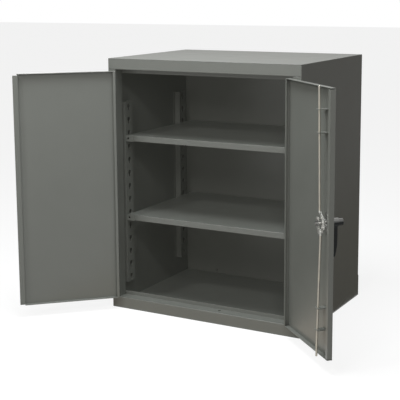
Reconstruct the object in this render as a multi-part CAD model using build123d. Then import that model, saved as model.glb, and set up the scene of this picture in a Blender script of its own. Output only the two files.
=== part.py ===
from build123d import *
import math
import os

os.makedirs("parts", exist_ok=True)

# Two-door steel tool cabinet, in millimetres. +Z is up, +X is to the right of someone facing the doors,
# the doors face -Y, and the origin is the centre of the base's underside. The doors stand open.

# ---- Shell -------------------------------------------------------------------------------------------
WIDTH = 914.0
HEIGHT = 1118.0
DEPTH = 673.0
SHEET = 2.0
BEND_R = 3.0
FRONT = -DEPTH / 2
INSIDE_X = WIDTH / 2 - SHEET
REAR_PLATE_THICK = 5.0
REAR_PLATE_TALL = 95.0
FLOOR_TOP = 8.0
RUNNER_CENTRES = (-280.0, 0.0, 280.0)
RUNNER_WIDE = 70.0
REAR_SCREWS = (-288.0, 0.0, 288.0)
REAR_SCREW_Z = 24.5
REAR_SCREW_R = 3.0
REAR_HEAD_R = 6.0

# ---- Front frame -------------------------------------------------------------------------------------
STILE_WIDE = 36.0
HEADER_BOTTOM = 1070.0
SILL_TOP = 50.0
RECESS = 50.0
HEADER_STOP_BOTTOM = 1051.5
HEADER_STOP_TOP = 1100.0
SILL_STOP_TOP = 66.0
ROD_HOLE_R = 7.2

# ---- Shelf posts, clips and shelves ------------------------------------------------------------------
POST_FACE_X = 426.0
POST_WIDE = 55.0
POST_FRONTS = (80.0, 558.0)
POST_BRIM = 12.0
POST_Z = (96.0, 920.0)
KEYHOLES = 14
KEYHOLE_PITCH = 60.0
KEYHOLE_FIRST = 115.0
KEYHOLE_HEAD_R = 10.5
KEYHOLE_TAIL_R = 4.5
KEYHOLE_RISE = 5.0
KEYHOLE_DROP = 10.0
SHELF_HOLES = {"lower": 5, "upper": 11}
SHELF_ABOVE_TAIL = 6.0
SHELF_LIP = 25.0
SHELF_HALF = 422.7
SHELF_Y = (84.4, 664.0)
CLIP_LONG = 40.0
CLIP_LEDGE = 36.0
CLIP_HOLE_R = 4.5
CLIP_HOLE_X = 414.5
STUD_R = 3.2
STUD_HEAD_R = 6.2

# ---- Doors -------------------------------------------------------------------------------------------
MEETING_GAP = 3.0
DOOR_X = (MEETING_GAP / 2, WIDTH / 2 - STILE_WIDE - 1.5)
DOOR_Z = (55.0, 1065.0)
DOOR_THICK = 20.0
HINGE_LIP = 11.0
MEETING_LIP = 18.0
STRIP_WIDE = 22.0
STRIP_STANDOFF = 0.6
STRIP_Z = (60.0, 1059.0)
OPEN_DEG = {"left": 136.0, "right": 137.0}

# ---- Hinges ------------------------------------------------------------------------------------------
HINGE_X = WIDTH / 2 - STILE_WIDE - 0.75
HINGE_OUT = 8.5
HINGE_BOTTOMS = (195.0, 820.0)
HINGE_TALL = 98.0
KNUCKLE_R = 6.5
KNUCKLE_GAP = 0.4
LEAF_THICK = 2.5
LEAF_OFFSET = 7.0
LEAF_WIDE = 26.0
PIN_R = 3.0
PIN_CLEARANCE = 0.05
PIN_HEAD_R = 5.0
PIN_HEAD = 3.0

# ---- Lock, on the right door: u runs from the meeting edge, v runs in from the outer face --------------
LOCK_U = 46.0
LOCK_Z = 567.0
SPINDLE_R = 6.0
SPINDLE_SQUARE = 9.0
SPINDLE_NECK_R = 5.0
SPINDLE_THREAD_R = 4.0
SPINDLE_CLEARANCE = 0.05
CAM_V = (15.0, 19.0)
CAM_ARM_R = 8.0
CAM_HUB_R = 13.0
PIN_ORBIT = 18.0
PIN_SHAFT_R = 2.5
PIN_FLATS = 12.0
WASHER_V = (44.5, 46.0)
NUT_V = (46.0, 52.0)
NUT_FLATS = 16.0
ROD_V = 33.0
ROD_R = 4.0
LINK_V = {"upper": (27.0, 31.0), "lower": (36.0, 40.0)}
LINK_WIDE = 12.0
LINK_SLOT = (6.0, 3.3)
LINK_SLOT_X = {"upper": -15.6, "lower": 14.3}
LINK_WALL = (2.8, 5.0)
LINK_HOOK = 9.0
ROD_STARTS = {"upper": (7.0, 38.0), "lower": (-3.0, -34.0)}
ROD_TIPS = {"upper": (69.0, 1068.5), "lower": (68.0, 51.5)}
ROD_SIDE = {"upper": -1, "lower": 1}
BOSS_R = 9.0
BOSS_V = (26.5, 41.0)
GUIDE_LEGS = {"upper": (898.0, 983.0), "lower": (158.0, 242.0)}
GUIDE_WIDE = 30.0
GUIDE_THICK = 3.0
GUIDE_REACH = 41.0
GUIDE_CLEARANCE = 0.3
PLATE_SIZE = (44.0, 76.0)
SCREW_RISE = 28.0
SCREW_R = 2.5
SCREW_CLEARANCE = 0.1
BUSHING_R = 11.0
BUSHING_V = 11.0
ESCUTCHEON_SIZE = (40.0, 86.0)
ESCUTCHEON_THICK = 4.0
HUB_R = 17.0
HUB_V = (-36.0, -4.3)
NOSE_R = 14.0
NOSE_V = (-54.0, -36.0)
PLUG_R = 8.0
PLUG_DEPTH = 14.0
LEVER_TIP_Z = 434.0


def block(x, y, z):
    """A box between two values on each axis, y measured from the front plane."""
    centre = Pos((x[0] + x[1]) / 2, FRONT + (y[0] + y[1]) / 2, (z[0] + z[1]) / 2)
    return centre * Box(x[1] - x[0], y[1] - y[0], z[1] - z[0])


def rod_along(start, end, radius):
    """A round bar between two points, y measured from the front plane."""
    a = Vector(start[0], FRONT + start[1], start[2])
    b = Vector(end[0], FRONT + end[1], end[2])
    plane = Plane(origin=a, z_dir=b - a)
    return extrude(plane * Circle(radius), (b - a).length)


def fused(pieces):
    whole = pieces[0]
    for piece in pieces[1:]:
        whole = whole + piece
    return whole


def grouped(solids):
    """Separate solids kept side by side in one node."""
    return Compound(children=[s for piece in solids for s in piece.solids()])


def mirrored(shape):
    return mirror(shape, about=Plane.YZ)


def swung(shape, side):
    """Turns a shape drawn with the doors shut to where its open door carries it."""
    sign = 1 if side == "right" else -1
    axis = Pos(sign * HINGE_X, FRONT - HINGE_OUT, 0)
    return axis * Rot(0, 0, sign * OPEN_DEG[side]) * axis.inverse() * shape


def front_bend(shape, z):
    """Rounds the bend along the front plane at one height."""
    on_front = shape.edges().filter_by(Axis.X).filter_by_position(Axis.Y, FRONT - 0.1, FRONT + 0.1)
    return fillet(on_front.filter_by_position(Axis.Z, z - 0.1, z + 0.1), BEND_R)


def save(name, shape):
    export_step(shape, "parts/" + name + ".step")


# ---- Shell -------------------------------------------------------------------------------------------
def side_panel():
    return block((INSIDE_X, WIDTH / 2), (0, DEPTH), (0, HEIGHT - SHEET))


def top_panel():
    return block((-WIDTH / 2, WIDTH / 2), (0, DEPTH), (HEIGHT - SHEET, HEIGHT))


def rear_screw_bars(y, radius):
    """Round bars on the lines of the screws that hold the rear base plate."""
    return [rod_along((x, y[0], REAR_SCREW_Z), (x, y[1], REAR_SCREW_Z), radius) for x in REAR_SCREWS]


def rear_screws():
    heads = rear_screw_bars((DEPTH - SHEET - 3, DEPTH - SHEET), REAR_HEAD_R)
    shanks = rear_screw_bars((DEPTH - SHEET, DEPTH + REAR_PLATE_THICK), REAR_SCREW_R)
    return grouped([head + shank for head, shank in zip(heads, shanks)])


def back_panel():
    panel = block((-INSIDE_X, INSIDE_X), (DEPTH - SHEET, DEPTH), (0, HEIGHT - SHEET))
    return panel - rear_screw_bars((DEPTH - 2 * SHEET, DEPTH + SHEET), REAR_SCREW_R + SCREW_CLEARANCE)


def rear_base_plate():
    plate = block((-WIDTH / 2, WIDTH / 2), (DEPTH, DEPTH + REAR_PLATE_THICK), (0, REAR_PLATE_TALL))
    bores = rear_screw_bars((DEPTH - 1, DEPTH + REAR_PLATE_THICK + 1), REAR_SCREW_R + SCREW_CLEARANCE)
    return plate - bores


def floor_panel():
    front = RECESS + SHEET
    return block((-INSIDE_X, INSIDE_X), (front, DEPTH - SHEET), (FLOOR_TOP - SHEET, FLOOR_TOP))


def base_runner(centre):
    """A flat bar that carries the floor from front to back."""
    half = RUNNER_WIDE / 2
    return block((centre - half, centre + half), (RECESS + SHEET, DEPTH - SHEET), (0, FLOOR_TOP - SHEET))


# ---- Front frame -------------------------------------------------------------------------------------
def rod_hole(name):
    """The cutter for the hole that a lock rod enters when the right door is shut."""
    u, tip_z = ROD_TIPS[name]
    x = DOOR_X[0] + u
    z = HEADER_BOTTOM if name == "upper" else SILL_TOP
    return Pos(x, FRONT + ROD_V, z) * Cylinder(ROD_HOLE_R, 4 * SHEET)


def header():
    face = block((-INSIDE_X, INSIDE_X), (0, SHEET), (HEADER_BOTTOM, HEIGHT - SHEET))
    underside = block((-INSIDE_X, INSIDE_X), (0, RECESS), (HEADER_BOTTOM, HEADER_BOTTOM + SHEET))
    return front_bend(face + underside, HEADER_BOTTOM) - rod_hole("upper")


def header_stop():
    x = (-INSIDE_X, INSIDE_X)
    return block(x, (RECESS, RECESS + SHEET), (HEADER_STOP_BOTTOM, HEADER_STOP_TOP))


def sill():
    face = block((-INSIDE_X, INSIDE_X), (0, SHEET), (0, SILL_TOP))
    ledge = block((-INSIDE_X, INSIDE_X), (0, RECESS), (SILL_TOP - SHEET, SILL_TOP))
    return front_bend(face + ledge, SILL_TOP) - rod_hole("lower")


def sill_stop():
    return block((-INSIDE_X, INSIDE_X), (RECESS, RECESS + SHEET), (0, SILL_STOP_TOP))


def stile():
    inner = WIDTH / 2 - STILE_WIDE
    z = (SILL_TOP, HEADER_BOTTOM)
    face = block((inner, INSIDE_X), (0, SHEET), z)
    cheek = block((inner, inner + SHEET), (0, RECESS), z)
    rear = block((inner, INSIDE_X), (RECESS - SHEET, RECESS), z)
    return fused([face, cheek, rear])


# ---- Shelf posts, clips and shelves ------------------------------------------------------------------
def keyhole(post_front, z):
    """The cutter for one keyhole: a round head with a narrow tail below it."""
    y = FRONT + post_front + POST_WIDE / 2
    through = 6 * SHEET
    head = Pos(POST_FACE_X, y, z + KEYHOLE_RISE) * Rot(0, 90, 0) * Cylinder(KEYHOLE_HEAD_R, through)
    tail = Pos(POST_FACE_X, y, z - KEYHOLE_DROP) * Rot(0, 90, 0) * Cylinder(KEYHOLE_TAIL_R, through)
    neck = Pos(POST_FACE_X, y, z - (KEYHOLE_DROP - KEYHOLE_RISE) / 2) * Box(
        through, 2 * KEYHOLE_TAIL_R, KEYHOLE_RISE + KEYHOLE_DROP
    )
    return fused([head, tail, neck])


def post(front):
    """A top-hat channel on the side panel, its web facing the shelves."""
    rear = front + POST_WIDE
    web_back = POST_FACE_X + SHEET
    pieces = [
        block((POST_FACE_X, web_back), (front, rear), POST_Z),
        block((POST_FACE_X, INSIDE_X), (front, front + SHEET), POST_Z),
        block((POST_FACE_X, INSIDE_X), (rear - SHEET, rear), POST_Z),
        block((INSIDE_X - SHEET, INSIDE_X), (front - POST_BRIM, front), POST_Z),
        block((INSIDE_X - SHEET, INSIDE_X), (rear, rear + POST_BRIM), POST_Z),
    ]
    channel = fused(pieces)
    for k in range(KEYHOLES):
        channel = channel - keyhole(front, KEYHOLE_FIRST + k * KEYHOLE_PITCH)
    return channel


def tail_z(shelf):
    return KEYHOLE_FIRST + SHELF_HOLES[shelf] * KEYHOLE_PITCH - KEYHOLE_DROP


def clip_hole(shelf, radius):
    """The cutter for the fixing hole in a front clip's leg and in the shelf lip behind it."""
    z = tail_z(shelf) + SHELF_ABOVE_TAIL - (SHELF_LIP + SHEET) / 2
    y = SHELF_Y[0]
    return rod_along((CLIP_HOLE_X, y - 3 * SHEET, z), (CLIP_HOLE_X, y + 2 * SHEET, z), radius)


def clip(shelf, post_front):
    """A bracket hooked into one keyhole, with a ledge for the shelf and, at the front, a stop leg."""
    stud_z = tail_z(shelf)
    top = stud_z + SHELF_ABOVE_TAIL
    low = top - SHELF_LIP - SHEET
    centre = post_front + POST_WIDE / 2
    y = (centre - CLIP_LONG / 2, centre + CLIP_LONG / 2)
    if post_front == POST_FRONTS[0]:
        y = (SHELF_Y[0] - 0.4, y[1])
    back = POST_FACE_X - SHEET
    inner = back - CLIP_LEDGE
    pieces = [
        block((back, POST_FACE_X), y, (low, top)),
        block((inner, POST_FACE_X), y, (low, low + SHEET)),
        rod_along((back, centre, stud_z), (POST_FACE_X + SHEET + 0.3, centre, stud_z), STUD_R),
        rod_along(
            (POST_FACE_X + SHEET + 0.3, centre, stud_z),
            (POST_FACE_X + 2 * SHEET + 0.3, centre, stud_z),
            STUD_HEAD_R,
        ),
    ]
    if post_front == POST_FRONTS[0]:
        leg = block((inner, POST_FACE_X), (y[0] - SHEET, y[0]), (low, top))
        pieces.append(leg - clip_hole(shelf, CLIP_HOLE_R))
    return fused(pieces)


def clips(shelf):
    right = [clip(shelf, front) for front in POST_FRONTS]
    return grouped(right + [mirrored(c) for c in right])


def shelf_pan(shelf):
    top = tail_z(shelf) + SHELF_ABOVE_TAIL
    x, y = (-SHELF_HALF, SHELF_HALF), SHELF_Y
    tray = block(x, y, (top - SHELF_LIP, top))
    tray = fillet(tray.edges().group_by(Axis.Z)[-1], BEND_R)
    hollow = block(
        (x[0] + SHEET, x[1] - SHEET), (y[0] + SHEET, y[1] - SHEET), (top - SHELF_LIP - 1, top - SHEET)
    )
    holes = clip_hole(shelf, CLIP_HOLE_R + 1)
    return tray - hollow - holes - mirrored(holes)


# ---- Doors, drawn shut as the right door ---------------------------------------------------------------
def door_pan(meeting_lip, meeting_depth):
    """A folded pan: outer skin, four flanges, and lips on the hinge edge and the meeting edge."""
    x0, x1 = DOOR_X
    z0, z1 = DOOR_Z
    inner_z = (z0 + SHEET, z1 - SHEET)
    lip_y = (DOOR_THICK - SHEET, DOOR_THICK)
    pieces = [
        block((x0, x1), (0, SHEET), (z0, z1)),
        block((x0 + SHEET, x1), (0, DOOR_THICK), (z0, z0 + SHEET)),
        block((x0 + SHEET, x1), (0, DOOR_THICK), (z1 - SHEET, z1)),
        block((x1 - SHEET, x1), (0, DOOR_THICK), (z0, z1)),
        block((x1 - HINGE_LIP, x1), lip_y, inner_z),
        block((x0, x0 + SHEET), (0, meeting_depth), STRIP_Z),
    ]
    if meeting_lip:
        pieces.append(block((x0, x0 + MEETING_LIP), lip_y, STRIP_Z))
    return fused(pieces)


def meeting_strip():
    """A flat bar on the left door's meeting edge, which the right door shuts against."""
    y0 = DOOR_THICK + STRIP_STANDOFF
    x1 = DOOR_X[0] + SHEET
    return block((x1 - STRIP_WIDE, x1), (y0, y0 + SHEET), STRIP_Z)


# ---- Hinges, drawn shut on the right ---------------------------------------------------------------------
def knuckle(z, leaf_sign):
    """One barrel of a hinge and the web that joins it to its leaf."""
    barrel = rod_along((HINGE_X, -HINGE_OUT, z[0]), (HINGE_X, -HINGE_OUT, z[1]), KNUCKLE_R)
    web_x = sorted((HINGE_X, HINGE_X + leaf_sign * (LEAF_OFFSET + 1)))
    web = block(web_x, (-HINGE_OUT, 0), z)
    start = (HINGE_X, -HINGE_OUT, z[0] - 1)
    end = (HINGE_X, -HINGE_OUT, z[1] + 1)
    return barrel + web - rod_along(start, end, PIN_R + PIN_CLEARANCE)


def leaf(bottom, leaf_sign, spans):
    x = sorted((HINGE_X + leaf_sign * LEAF_OFFSET, HINGE_X + leaf_sign * (LEAF_OFFSET + LEAF_WIDE)))
    flat = block(x, (-LEAF_THICK, 0), (bottom, bottom + HINGE_TALL))
    return fused([flat] + [knuckle(span, leaf_sign) for span in spans])


def frame_leaves():
    third = HINGE_TALL / 3
    leaves = []
    for z in HINGE_BOTTOMS:
        spans = [(z, z + third), (z + 2 * third, z + HINGE_TALL)]
        leaves.append(leaf(z, 1, spans))
    return grouped(leaves)


def door_leaves():
    third = HINGE_TALL / 3
    spans = [(z + third + KNUCKLE_GAP, z + 2 * third - KNUCKLE_GAP) for z in HINGE_BOTTOMS]
    return grouped([leaf(z, -1, [span]) for z, span in zip(HINGE_BOTTOMS, spans)])


def hinge_pins():
    pins = []
    for z in HINGE_BOTTOMS:
        top = z + HINGE_TALL
        shaft = rod_along((HINGE_X, -HINGE_OUT, z - PIN_HEAD), (HINGE_X, -HINGE_OUT, top + PIN_HEAD), PIN_R)
        low = rod_along((HINGE_X, -HINGE_OUT, z - PIN_HEAD), (HINGE_X, -HINGE_OUT, z), PIN_HEAD_R)
        high = rod_along((HINGE_X, -HINGE_OUT, top), (HINGE_X, -HINGE_OUT, top + PIN_HEAD), PIN_HEAD_R)
        pins.append(fused([shaft, low, high]))
    return grouped(pins)


# ---- Lock, drawn on the shut right door -----------------------------------------------------------------
LOCK_X = DOOR_X[0] + LOCK_U


def lock_bar(v, radius):
    """A round bar on the lock's axis between two depths."""
    return rod_along((LOCK_X, v[0], LOCK_Z), (LOCK_X, v[1], LOCK_Z), radius)


def face_plane(v, x_dir=(1, 0, 0)):
    """A sketch plane at one depth, centred on the lock's axis and seen from outside the door."""
    return Plane(origin=(LOCK_X, FRONT + v, LOCK_Z), z_dir=(0, -1, 0), x_dir=x_dir)


def screw_bars(v, radius):
    heights = (LOCK_Z - SCREW_RISE, LOCK_Z + SCREW_RISE)
    return fused([rod_along((LOCK_X, v[0], z), (LOCK_X, v[1], z), radius) for z in heights])


def hexagon(x, z, v, flats):
    plane = Plane(origin=(x, FRONT + v[1], z), z_dir=(0, -1, 0), x_dir=(1, 0, 0))
    return extrude(plane * RegularPolygon(flats / 2, 6, major_radius=False), v[1] - v[0])


def lock_plate():
    plate = extrude(face_plane(SHEET + 3) * RectangleRounded(*PLATE_SIZE, 6), 3)
    bushing = lock_bar((SHEET + 3, BUSHING_V), BUSHING_R)
    bore = lock_bar((0, BUSHING_V + 1), SPINDLE_R + SPINDLE_CLEARANCE)
    return plate + bushing - bore - screw_bars((0, 10), SCREW_R + SCREW_CLEARANCE)


def escutcheon():
    plate = extrude(face_plane(0) * RectangleRounded(*ESCUTCHEON_SIZE, 16), ESCUTCHEON_THICK)
    bore = lock_bar((-10, 5), SPINDLE_R + SPINDLE_CLEARANCE)
    return plate - bore - screw_bars((-2.2, 5), SCREW_R + SCREW_CLEARANCE)


def lock_screws():
    heads = screw_bars((SHEET + 3, SHEET + 6), 2 * SCREW_R)
    return grouped([screw_bars((-2, SHEET + 3), SCREW_R) + heads])


def right_pan():
    spindle_hole = lock_bar((-5, 5), SPINDLE_R + 0.5)
    return door_pan(True, DOOR_THICK) - spindle_hole - screw_bars((-5, 5), SCREW_R + SCREW_CLEARANCE)


def drive_square(v):
    half = SPINDLE_SQUARE / 2
    return block((LOCK_X - half, LOCK_X + half), v, (LOCK_Z - half, LOCK_Z + half))


def spindle():
    parts = [
        lock_bar((HUB_V[1], CAM_V[0]), SPINDLE_R),
        drive_square(CAM_V),
        lock_bar((CAM_V[1], WASHER_V[0]), SPINDLE_NECK_R),
        lock_bar((WASHER_V[0], NUT_V[1] + 2), SPINDLE_THREAD_R),
    ]
    return fused(parts)


def pin_point(name):
    """Where a rod's cam pin is with the rods drawn in, measured from the lock's axis."""
    reach = ROD_SIDE[name] * PIN_ORBIT * math.sqrt(0.5)
    return reach, reach


def cam():
    thick = CAM_V[1] - CAM_V[0]
    arm = extrude(face_plane(CAM_V[1], (1, 0, 1)) * SlotCenterToCenter(2 * PIN_ORBIT, 2 * CAM_ARM_R), thick)
    return arm + lock_bar(CAM_V, CAM_HUB_R) - drive_square((CAM_V[0] - 1, CAM_V[1] + 1))


def cam_pins():
    pins = []
    for name in ROD_SIDE:
        x, z = LOCK_X + pin_point(name)[0], LOCK_Z + pin_point(name)[1]
        head = LINK_V[name][1] + 0.5
        shaft = rod_along((x, CAM_V[1], z), (x, head, z), PIN_SHAFT_R)
        pins.append(shaft + hexagon(x, z, (head, head + 3), PIN_FLATS))
    return grouped(pins)


def spindle_nut():
    nut = lock_bar(WASHER_V, NUT_FLATS * 0.7) + hexagon(LOCK_X, LOCK_Z, NUT_V, NUT_FLATS)
    return nut - lock_bar((WASHER_V[0] - 1, NUT_V[1] + 1), SPINDLE_THREAD_R)


def rod_line(name):
    """The rod's inner end and its outer tip."""
    x, z = ROD_STARTS[name]
    u, tip_z = ROD_TIPS[name]
    return (LOCK_X + x, ROD_V, LOCK_Z + z), (DOOR_X[0] + u, ROD_V, tip_z)


def link(name):
    """The S-shaped plate on a rod's inner end: a hook past the rod, then an eye slotted for the cam pin."""
    v = LINK_V[name]
    slot_x, pin_z = LINK_SLOT_X[name], pin_point(name)[1]
    start_x, start_z = ROD_STARTS[name]
    back = math.copysign(1, -slot_x)
    path = Spline(
        (start_x + back * LINK_HOOK, start_z),
        (start_x, start_z * 0.88),
        (slot_x * 0.9, start_z * 0.3),
        (slot_x, pin_z),
        tangents=[(-back, 0), (0, -math.copysign(1, start_z))],
    )
    plane = face_plane(v[1])
    end_size = [2 * (half + wall) for half, wall in zip(LINK_SLOT, LINK_WALL)]
    eye = Pos(slot_x, pin_z) * RectangleRounded(*end_size, 5)
    slot = Pos(slot_x, pin_z) * RectangleRounded(2 * LINK_SLOT[0], 2 * LINK_SLOT[1], 2.4)
    return extrude(plane * (trace(path, LINK_WIDE) + eye - slot), v[1] - v[0])


def rod(name):
    """A round rod with its tip chamfered and its S-shaped link welded on."""
    start, tip = rod_line(name)
    bar = rod_along(start, tip, ROD_R)
    rim = bar.edges().filter_by(GeomType.CIRCLE).sort_by(Axis.Z)[-1 if name == "upper" else 0]
    whole = chamfer(rim, 1.5) + link(name)
    if name == "lower":
        whole = whole + rod_along((start[0], BOSS_V[0], start[2] + 3), (start[0], BOSS_V[1], start[2] + 3), BOSS_R)
    return whole


def rod_guide(name):
    """A C-shaped bracket whose two legs carry the rod."""
    start, tip = rod_line(name)
    low, high = GUIDE_LEGS[name]

    def rod_x(z):
        return start[0] + (tip[0] - start[0]) * (z - start[2]) / (tip[2] - start[2])

    centre = (rod_x(low) + rod_x(high)) / 2
    x = (centre - GUIDE_WIDE / 2, centre + GUIDE_WIDE / 2)
    half = GUIDE_THICK / 2
    web = block(x, (SHEET, SHEET + GUIDE_THICK), (low - half, high + half))
    legs = [block(x, (SHEET, GUIDE_REACH), (z - half, z + half)) for z in (low, high)]
    return fused([web] + legs) - rod_along(start, tip, ROD_R + GUIDE_CLEARANCE)


# ---- Handle and key plug ----------------------------------------------------------------------------------
def lever():
    """The hanging grip: its side outline and its front outline, each extruded and intersected."""
    side_plane = Plane(origin=(LOCK_X - HUB_R, FRONT, LOCK_Z), x_dir=(0, 1, 0), z_dir=(1, 0, 0))
    tip = LEVER_TIP_Z - LOCK_Z
    outer = Spline((-31, 0), (-31, -40), (-28, tip + 25), (-22, tip))
    inner = Spline((-12, tip), (-16, tip + 25), (-18, -40), (-15, 0))
    outline = make_face(outer + Line((-22, tip), (-12, tip)) + inner + Line((-15, 0), (-31, 0)))
    from_side = extrude(side_plane * outline, 2 * HUB_R)
    front_plane = Plane(origin=(LOCK_X, FRONT, LOCK_Z), x_dir=(1, 0, 0), z_dir=(0, -1, 0))
    taper = make_face(Polyline((-13, 0), (-11, -45), (-8, tip + 8), (8, tip + 8), (11, -45), (13, 0), close=True))
    tip_round = Pos(0, tip + 8) * Circle(8)
    from_front = extrude(front_plane * (taper + tip_round), 2 * HUB_R)
    return from_side & from_front


def handle():
    hub = lock_bar(HUB_V, HUB_R)
    nose = lock_bar(NOSE_V, NOSE_R)
    bore = lock_bar((NOSE_V[0] - 1, NOSE_V[0] + PLUG_DEPTH), PLUG_R + SPINDLE_CLEARANCE)
    return fused([hub, nose, lever()]) - bore


def key_plug():
    plug = lock_bar((NOSE_V[0] - 0.8, NOSE_V[0] + PLUG_DEPTH - 0.3), PLUG_R)
    keyway = block((LOCK_X - 1, LOCK_X + 1), (NOSE_V[0] - 1, NOSE_V[0] + 6), (LOCK_Z - 4.5, LOCK_Z + 4.5))
    return plug - keyway


# ---- Nodes ---------------------------------------------------------------------------------------------------
both_sides = {"side": side_panel(), "stile": stile(), "post_front": post(POST_FRONTS[0])}
both_sides["post_rear"] = post(POST_FRONTS[1])
both_sides["hinge_frame_leaves"] = frame_leaves()
both_sides["hinge_pins"] = hinge_pins()
for name, shape in both_sides.items():
    save(name + "_right", shape)
    save(name + "_left", mirrored(shape))

save("top_panel", top_panel())
save("back_panel", back_panel())
save("rear_base_plate", rear_base_plate())
save("rear_screws", rear_screws())
save("floor_panel", floor_panel())
save("base_runners", grouped([base_runner(x) for x in RUNNER_CENTRES]))
save("header", header())
save("header_stop", header_stop())
save("sill", sill())
save("sill_stop", sill_stop())
for name in SHELF_HOLES:
    save("shelf_" + name, shelf_pan(name))
    save("shelf_clips_" + name, clips(name))

save("door_left", swung(mirrored(door_pan(False, DOOR_THICK + STRIP_STANDOFF)), "left"))
save("door_left_meeting_strip", swung(mirrored(meeting_strip()), "left"))
save("hinge_door_leaves_left", swung(mirrored(door_leaves()), "left"))

on_right_door = {
    "door_right": right_pan(),
    "hinge_door_leaves_right": door_leaves(),
    "lock_plate": lock_plate(),
    "lock_escutcheon": escutcheon(),
    "lock_screws": lock_screws(),
    "rod_guide_upper": rod_guide("upper"),
    "rod_guide_lower": rod_guide("lower"),
    "rod_upper": rod("upper"),
    "rod_lower": rod("lower"),
    "lock_spindle": spindle(),
    "lock_cam": cam(),
    "cam_pins": cam_pins(),
    "spindle_nut": spindle_nut(),
    "handle": handle(),
    "key_plug": key_plug(),
}
for name, shape in on_right_door.items():
    save(name, swung(shape, "right"))
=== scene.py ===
import math

import bpy
from mathutils import Matrix, Vector


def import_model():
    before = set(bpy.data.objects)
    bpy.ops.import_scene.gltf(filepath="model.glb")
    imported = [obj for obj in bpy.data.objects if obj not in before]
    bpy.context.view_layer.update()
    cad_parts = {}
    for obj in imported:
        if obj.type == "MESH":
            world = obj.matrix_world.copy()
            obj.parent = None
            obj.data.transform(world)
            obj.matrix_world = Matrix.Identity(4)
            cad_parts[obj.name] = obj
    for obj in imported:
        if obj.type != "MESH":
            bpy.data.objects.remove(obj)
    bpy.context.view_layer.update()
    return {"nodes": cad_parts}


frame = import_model()
NODES = frame["nodes"]

MM = 0.001

# ---- Camera: a long lens from the front right, tilted down, with a small shift ------------------------
CAMERA_AT = (2.04805, -3.98198, 1.41989)
CAMERA_YAW = 0.51222
CAMERA_PITCH = 0.15954
CAMERA_ROLL = -0.00695
CAMERA_LENS = 91.07
CAMERA_SHIFT_Y = -0.125
CAMERA_REACH = 200.0

# ---- Studio ------------------------------------------------------------------------------------------
# Each lamp: its place, the size of its square face, how brightly it lights a face square to it at the
# cabinet's middle (1 shows white as white), and its colour.
LAMP_AIM = (0.0, -0.2, 0.6)
LAMPS = {
    "overhead": ((0.00, -0.80, 3.00), 1.30, 1.10, (0.95, 0.98, 1.0)),
    "front_left": ((-0.98, -2.63, 2.61), 0.30, 0.155, (0.99, 1.0, 0.99)),
    "front_right": ((1.70, -2.63, 2.61), 0.30, 0.115, (1.0, 1.0, 0.98)),
    "low_front": ((0.30, -3.00, 2.15), 0.60, 0.145, (1.0, 0.99, 0.97)),
}
# Weak suns with no shadow, for light that bounces about: the way each travels, strength and colour.
FILLS = {
    "fill_side": ((-1.0, 0.0, 0.0), 0.063, (1.0, 0.99, 0.94)),
    "fill_front": ((0.0, 1.0, 0.0), 0.143, (1.0, 0.98, 0.92)),
    "fill_rear": ((0.55, -0.83, 0.0), 0.16, (1.0, 1.0, 0.97)),
    "fill_top": ((0.0, 0.0, -1.0), 0.097, (1.0, 1.0, 0.96)),
}
FILL_ANGLE = 40.0

PALE = (1.0, 1.0, 1.0)
HORIZON = (0.08, 0.08, 0.08)
ZENITH = (0.12, 0.12, 0.12)
FLOOR_SIZE = 60.0
FLOOR_GLOW = 0.84
FLOOR_SHARE = 0.2
FLOOR_BOUNCE = (0.26, 0.25, 0.235)

# Cards that only gloss shows: two sides in X, Y and Z, and the colour of each.
CARDS = {
    "grey_side": ((1.2, 1.2), (-0.3, 4.0), (0.0, 2.5), (0.25, 0.24, 0.23)),
    "grey_ground": ((0.462, 1.2), (-0.3, 4.0), (0.0015, 0.0015), (0.18, 0.165, 0.14)),
    "warm_ground": ((-0.60, 0.45), (-0.70, -0.345), (0.0015, 0.0015), (0.90, 0.79, 0.66)),
    "grey_behind": ((-4.0, 1.2), (4.0, 4.0), (0.0, 4.0), (0.50, 0.485, 0.475)),
}


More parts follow.
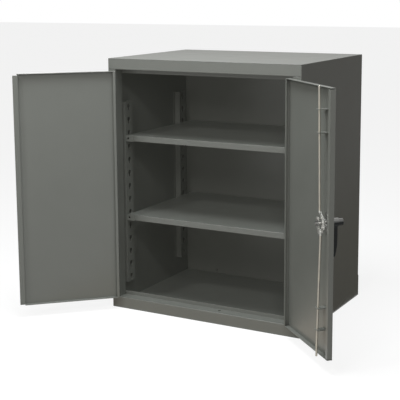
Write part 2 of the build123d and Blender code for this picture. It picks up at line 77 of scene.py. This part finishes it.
# ---- Node-tree helpers -------------------------------------------------------------------------------
class Nodes:
    """A material's node tree, with short calls for the nodes that the finishes use."""

    def __init__(self, name):
        self.material = bpy.data.materials.new(name)
        self.material.use_nodes = True
        self.tree = self.material.node_tree
        self.shader = self.tree.nodes["Principled BSDF"]

    def add(self, kind, **settings):
        node = self.tree.nodes.new(kind)
        for key, value in settings.items():
            setattr(node, key, value)
        return node

    def join(self, source, target):
        self.tree.links.new(source, target)

    def place(self):
        """Coordinates in metres on the piece itself."""
        return self.add("ShaderNodeTexCoord").outputs["Object"]

    def stretched(self, where, stretch):
        """The same coordinates, scaled along each axis, for a grain that is drawn out along one."""
        mapping = self.add("ShaderNodeMapping")
        mapping.inputs["Scale"].default_value = stretch
        self.join(where, mapping.inputs["Vector"])
        return mapping.outputs["Vector"]

    def noise(self, where, per_metre, detail=3.0):
        node = self.add("ShaderNodeTexNoise")
        node.inputs["Scale"].default_value = per_metre
        node.inputs["Detail"].default_value = detail
        self.join(where, node.inputs["Vector"])
        return node.outputs["Fac"]

    def spread(self, value, low, high, start=0.3, end=0.7):
        """Maps a value from start..end to low..high; a noise mostly keeps to the default range."""
        node = self.add("ShaderNodeMapRange")
        for key, number in (("From Min", start), ("From Max", end), ("To Min", low), ("To Max", high)):
            node.inputs[key].default_value = number
        self.join(value, node.inputs["Value"])
        return node.outputs["Result"]

    def blend(self, factor, first, second):
        """Mixes two colours, each a constant or a socket; a factor of 0 gives the first."""
        node = self.add("ShaderNodeMix", data_type="RGBA")
        for socket, colour in ((node.inputs[6], first), (node.inputs[7], second)):
            if isinstance(colour, tuple):
                socket.default_value = (*colour, 1)
            else:
                self.join(colour, socket)
        self.join(factor, node.inputs[0])
        return node.outputs[2]

    def height(self, where):
        split = self.add("ShaderNodeSeparateXYZ")
        self.join(where, split.inputs[0])
        return split.outputs["Z"]

    def distance(self, value, middle):
        """How far a value is from the middle, whichever side it is on."""
        offset = self.add("ShaderNodeMath", operation="SUBTRACT")
        offset.inputs[1].default_value = middle
        self.join(value, offset.inputs[0])
        size = self.add("ShaderNodeMath", operation="ABSOLUTE")
        self.join(offset.outputs[0], size.inputs[0])
        return size.outputs[0]

    def painted_shade_mask(self):
        """1 on an open face, falling to 0 in a closed hollow or a narrow gap: the mask for painted shade."""
        node = self.add("ShaderNodeAmbientOcclusion", samples=HOLLOW_SAMPLES)
        node.inputs["Distance"].default_value = HOLLOW_REACH
        return self.spread(node.outputs["AO"], 0.0, 1.0, *HOLLOW_LEVELS)

    def colour(self, source):
        self.join(source, self.shader.inputs["Base Color"])

    def texture(self, where, rough, patches, patch_detail, grain, strength=0.05, depth=0.0003):
        """Patches of uneven roughness over a fine grain: noises per metre, and the grain's bump."""
        unevenness = self.spread(self.noise(where, patches, patch_detail), *rough)
        self.join(unevenness, self.shader.inputs["Roughness"])
        node = self.add("ShaderNodeBump")
        node.inputs["Strength"].default_value = strength
        node.inputs["Distance"].default_value = depth
        self.join(self.noise(where, grain, 2.0), node.inputs["Height"])
        self.join(node.outputs["Normal"], self.shader.inputs["Normal"])

    def fixed(self, socket, number):
        self.shader.inputs[socket].default_value = number


# ---- Finishes ----------------------------------------------------------------------------------------
# Painted shade: the colour that hollows and narrow gaps in the paint turn, and how the mask that finds them
# is sampled, how far it looks and where it ramps.
PAINTED_SHADE = (0.02, 0.02, 0.018)
HOLLOW_SAMPLES = 8
HOLLOW_REACH = 0.06
HOLLOW_LEVELS = (0.06, 0.34)
DRIFT = 35.0
DRAWN_OUT = (6, 6, 0.2)
ROD_METAL = 0.6
# The lock, in metres above the floor at rest: its middle, how far the links' painted reflection reaches from
# it, where that painted reflection gives way to the rod, and the two heights between which the handle's hub
# turns pale with a painted reflection.
LOCK_HEIGHT = 0.567
LINK_REACH = 0.045
LINK_EDGE = 0.002
HUB_REFLECTION_LEVELS = (0.568, 0.590)


def powder_coat(name, light, dark):
    """Semi-gloss powder coat: orange peel, faint mottling and uneven gloss, with painted shade in hollows and
    gaps.
    """
    n = Nodes(name)
    where = n.place()
    mottle = n.spread(n.noise(where, 9.0, 4.0), 0.0, 1.0)
    # Painted shade: hollows and narrow gaps are darkened toward the shade colour.
    n.colour(n.blend(n.painted_shade_mask(), PAINTED_SHADE, n.blend(mottle, dark, light)))
    n.texture(where, (0.29, 0.33), 14.0, 4.0, 420.0, strength=0.06, depth=0.0004)
    n.fixed("IOR", 1.48)
    return n.material


def plated(name, light, dark, rough):
    """Plated steel: a slow drift of colour over a fine grain."""
    n = Nodes(name)
    where = n.place()
    n.colour(n.blend(n.spread(n.noise(where, DRIFT), 0.0, 1.0), dark, light))
    n.texture(where, rough, 160.0, 4.0, 320.0)
    n.fixed("Metallic", 1.0)
    return n.material


def black_chrome(name, grip, hub):
    """Smoked chrome casting, dark on the grip, with a painted reflection that turns the hub paler above a set
    height.
    """
    n = Nodes(name)
    where = n.place()
    # Painted reflection: above a set height the hub changes from the grip's dark colour to a pale one.
    n.colour(n.blend(n.spread(n.height(where), 0.0, 1.0, *HUB_REFLECTION_LEVELS), grip, hub))
    n.texture(where, (0.10, 0.17), 90.0, 3.0, 300.0)
    n.fixed("Metallic", 1.0)
    return n.material


def lock_rod(name, light, dark, link):
    """Drawn rod plated a faint yellow, with the flat link about the lock painted paler as a painted
    reflection.
    """
    n = Nodes(name)
    where = n.place()
    plating = n.blend(n.spread(n.noise(where, DRIFT), 0.0, 1.0), dark, light)
    # Painted reflection: near the lock the link is given a paler colour than the rod.
    from_lock = n.distance(n.height(where), LOCK_HEIGHT)
    on_rod = n.spread(from_lock, 0.0, 1.0, LINK_REACH, LINK_REACH + LINK_EDGE)
    n.colour(n.blend(on_rod, link, plating))
    n.texture(n.stretched(where, DRAWN_OUT), (0.26, 0.38), 160.0, 4.0, 320.0)
    n.fixed("Metallic", ROD_METAL)
    return n.material


GREY = powder_coat("grey_paint", (0.158, 0.164, 0.150), (0.152, 0.158, 0.144))
STEEL = plated("plain_steel", (0.46, 0.45, 0.43), (0.36, 0.35, 0.34), (0.30, 0.42))
DULL_ZINC = plated("dull_zinc", (0.20, 0.20, 0.19), (0.14, 0.14, 0.135), (0.38, 0.50))
ZINC = plated("zinc", (0.44, 0.44, 0.42), (0.34, 0.34, 0.33), (0.30, 0.42))
# The third colour is the links' painted reflection.
YELLOW_ZINC = lock_rod("yellow_zinc", (0.44, 0.41, 0.34), (0.37, 0.35, 0.31), (0.60, 0.60, 0.57))
# The second colour is the hub's painted reflection, not a separate rubbed finish.
DARK_CHROME = black_chrome("dark_chrome", (0.017, 0.018, 0.018), (0.42, 0.42, 0.405))
BRASS = plated("brass", (0.60, 0.54, 0.38), (0.50, 0.45, 0.33), (0.24, 0.36))

FINISHES = {
    "hinge_pins_left": STEEL,
    "hinge_pins_right": STEEL,
    "rear_screws": DULL_ZINC,
    "lock_plate": ZINC,
    "lock_screws": ZINC,
    "lock_cam": ZINC,
    "cam_pins": STEEL,
    "lock_spindle": STEEL,
    "spindle_nut": DULL_ZINC,
    "rod_upper": YELLOW_ZINC,
    "rod_lower": YELLOW_ZINC,
    "lock_escutcheon": DARK_CHROME,
    "handle": DARK_CHROME,
    "key_plug": BRASS,
}

PAINT_EDGE = 1.0 * MM
METAL_EDGE = 0.6 * MM
WELD_GAP = 0.01 * MM
FLAT_ANGLE = 0.5
SHARP_ANGLE = 35.0


def finish_nodes():
    for name, node in NODES.items():
        material = FINISHES.get(name, GREY)
        for slot in node.material_slots:
            slot.material = material
        soften(node, PAINT_EDGE if material is GREY else METAL_EDGE)


def soften(piece, width):
    """Rounds the piece's edges a little, as folded sheet is, and keeps its flat faces shaded flat."""
    weld = piece.modifiers.new("weld", "WELD")
    weld.merge_threshold = WELD_GAP
    plain = piece.modifiers.new("plain", "DECIMATE")
    plain.decimate_type = "DISSOLVE"
    plain.angle_limit = math.radians(FLAT_ANGLE)
    bevel = piece.modifiers.new("bevel", "BEVEL")
    bevel.width = width
    bevel.segments = 2
    bevel.limit_method = "ANGLE"
    bevel.angle_limit = math.radians(SHARP_ANGLE)
    even = piece.modifiers.new("even", "WEIGHTED_NORMAL")
    even.mode = "FACE_AREA"
    even.keep_sharp = True


# ---- Studio ------------------------------------------------------------------------------------------
def pale_to_the_eye(tree, plain, lit):
    """Mixes two shaders: `plain` for camera, glossy and transmission rays, `lit` for the rest."""
    path = tree.nodes.new("ShaderNodeLightPath")
    seen = path.outputs["Is Camera Ray"]
    for kind in ("Is Glossy Ray", "Is Transmission Ray"):
        either = tree.nodes.new("ShaderNodeMath")
        either.operation = "MAXIMUM"
        tree.links.new(seen, either.inputs[0])
        tree.links.new(path.outputs[kind], either.inputs[1])
        seen = either.outputs[0]
    mix = tree.nodes.new("ShaderNodeMixShader")
    tree.links.new(seen, mix.inputs[0])
    tree.links.new(lit, mix.inputs[1])
    tree.links.new(plain, mix.inputs[2])
    return mix.outputs[0]


def shader(tree, kind, colour, strength=None):
    node = tree.nodes.new(kind)
    node.inputs["Color"].default_value = (*colour, 1)
    if strength is not None:
        node.inputs["Strength"].default_value = strength
    return node


def world():
    """White to the eye; to the piece, soft grey light that is strongest overhead."""
    sky = bpy.data.worlds.new("studio")
    sky.use_nodes = True
    tree = sky.node_tree
    tree.nodes.clear()
    direction = tree.nodes.new("ShaderNodeTexCoord").outputs["Generated"]
    split = tree.nodes.new("ShaderNodeSeparateXYZ")
    tree.links.new(direction, split.inputs[0])
    grade = tree.nodes.new("ShaderNodeMix")
    grade.data_type = "RGBA"
    grade.inputs[6].default_value = (*HORIZON, 1)
    grade.inputs[7].default_value = (*ZENITH, 1)
    tree.links.new(split.outputs["Z"], grade.inputs[0])
    ambient = tree.nodes.new("ShaderNodeBackground")
    tree.links.new(grade.outputs[2], ambient.inputs["Color"])
    plain = shader(tree, "ShaderNodeBackground", PALE)
    output = tree.nodes.new("ShaderNodeOutputWorld")
    tree.links.new(pale_to_the_eye(tree, plain.outputs[0], ambient.outputs[0]), output.inputs["Surface"])
    bpy.context.scene.world = sky


def flat(name, corners):
    """A flat studio piece, and the node tree that shades it."""
    mesh = bpy.data.meshes.new(name)
    mesh.from_pydata(corners, [], [(0, 1, 2, 3)])
    piece = bpy.data.objects.new(name, mesh)
    bpy.context.scene.collection.objects.link(piece)
    material = bpy.data.materials.new(name)
    material.use_nodes = True
    material.node_tree.nodes.clear()
    mesh.materials.append(material)
    return piece, material.node_tree


def surface(tree, source):
    output = tree.nodes.new("ShaderNodeOutputMaterial")
    tree.links.new(source, output.inputs["Surface"])


def floor():
    """A pale floor that keeps a light shadow, and throws little light back at the piece."""
    half = FLOOR_SIZE / 2
    _, tree = flat("studio_floor", [(-half, -half, 0), (half, -half, 0), (half, half, 0), (-half, half, 0)])
    both = tree.nodes.new("ShaderNodeAddShader")
    share = tuple(FLOOR_SHARE * c for c in PALE)
    tree.links.new(shader(tree, "ShaderNodeEmission", PALE, FLOOR_GLOW).outputs[0], both.inputs[0])
    tree.links.new(shader(tree, "ShaderNodeBsdfDiffuse", share).outputs[0], both.inputs[1])
    lit = shader(tree, "ShaderNodeBsdfDiffuse", FLOOR_BOUNCE)
    surface(tree, pale_to_the_eye(tree, both.outputs[0], lit.outputs[0]))


def card(name, xs, ys, zs, colour):
    """A glowing card that only gloss shows: flat on the ground, or standing up from one side to another."""
    if zs[0] == zs[1]:
        corners = [(x, y, zs[0]) for x, y in ((xs[0], ys[0]), (xs[1], ys[0]), (xs[1], ys[1]), (xs[0], ys[1]))]
    else:
        corners = [(xs[i], ys[i], zs[j]) for i, j in ((0, 0), (1, 0), (1, 1), (0, 1))]
    piece, tree = flat(name, corners)
    surface(tree, shader(tree, "ShaderNodeEmission", colour).outputs[0])
    piece.visible_camera = False
    piece.visible_shadow = False
    piece.visible_diffuse = False


def hang(name, lamp, place, travel):
    holder = bpy.data.objects.new(name, lamp)
    holder.rotation_euler = Vector(travel).to_track_quat("-Z", "Y").to_euler()
    holder.location = place
    bpy.context.scene.collection.objects.link(holder)


def softbox(name, place, size, strength, colour):
    lamp = bpy.data.lights.new(name, "AREA")
    lamp.shape = "SQUARE"
    lamp.size = size
    lamp.color = colour
    reach = Vector(LAMP_AIM) - Vector(place)
    lamp.energy = math.pi**2 * strength * reach.length_squared
    hang(name, lamp, place, reach)


def fill(name, travel, strength, colour):
    lamp = bpy.data.lights.new(name, "SUN")
    lamp.energy = math.pi * strength
    lamp.angle = math.radians(FILL_ANGLE)
    lamp.color = colour
    lamp.use_shadow = False
    hang(name, lamp, (0, 0, 0), travel)


def studio():
    floor()
    for name, settings in CARDS.items():
        card(name, *settings)
    for name, settings in LAMPS.items():
        softbox(name, *settings)
    for name, settings in FILLS.items():
        fill(name, *settings)
    world()


def camera():
    lens = bpy.data.cameras.new("camera")
    lens.lens = CAMERA_LENS
    lens.shift_y = CAMERA_SHIFT_Y
    lens.clip_end = CAMERA_REACH
    eye = bpy.data.objects.new("camera", lens)
    turn = Matrix.Rotation(CAMERA_YAW, 4, "Z") @ Matrix.Rotation(math.pi / 2 - CAMERA_PITCH, 4, "X")
    eye.matrix_world = Matrix.Translation(CAMERA_AT) @ turn @ Matrix.Rotation(CAMERA_ROLL, 4, "Z")
    bpy.context.scene.collection.objects.link(eye)
    bpy.context.scene.camera = eye


camera()
studio()
finish_nodes()
bpy.context.scene.view_settings.view_transform = "Standard"


def plain(box):
    return [list(corner) for corner in box]
